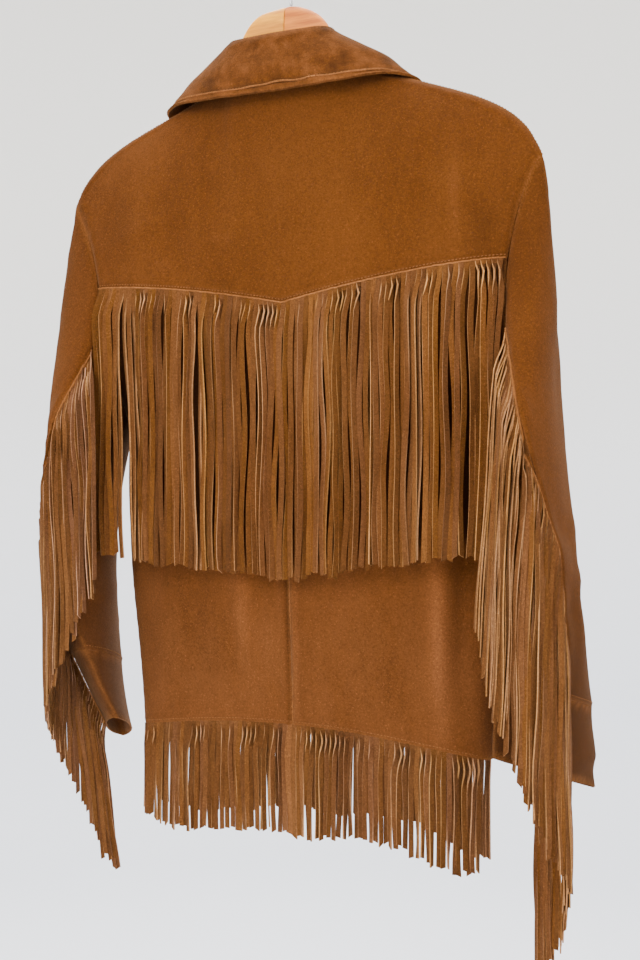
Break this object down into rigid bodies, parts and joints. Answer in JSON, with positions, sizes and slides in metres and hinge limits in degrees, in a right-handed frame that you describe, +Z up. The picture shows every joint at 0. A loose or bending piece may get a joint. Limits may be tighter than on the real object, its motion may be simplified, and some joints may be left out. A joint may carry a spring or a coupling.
{
  "type": "fringed suede jacket on wooden hanger",
  "caption": "Suede jacket with long fringe at the yoke, sleeves and hem, hanging on a round-topped wooden hanger by its steel hook.",
  "frame": {"origin": "underside of the hook's arch, where a rail carries it", "axes": "+Z up, -Y the wearer's front, +X the wearer's left"},
  "size_m": [0.5618, 0.2038, 0.9575],
  "materials": {
    "suede": "napped",
    "fringe_suede": "napped",
    "pale_wood": "satin lacquer",
    "grained_wood": "satin lacquer",
    "steel": "bright wire",
    "horn": "polished horn"
  },
  "bodies": {
    "root": {"back_lower_left": "suede", "back_lower_right": "suede", "back_yoke": "suede", "button_1": "horn", "button_2": "horn", "button_3": "horn", "button_4": "horn", "button_5": "horn", "collar": "suede", "cuff_left": "suede", "cuff_right": "suede", "front_left": "suede", "front_right": "suede", "hanger_hook": "steel", "hanger_left": "pale_wood", "hanger_right": "grained_wood", "hem_fringe_back": "fringe_suede", "hem_fringe_front_left": "fringe_suede", "hem_fringe_front_right": "fringe_suede", "sleeve_fringe_left": "fringe_suede", "sleeve_fringe_right": "fringe_suede", "top_sleeve_left": "suede", "top_sleeve_right": "suede", "under_sleeve_left": "suede", "under_sleeve_right": "suede", "yoke_fringe": "fringe_suede"}
  },
  "joints": []
}
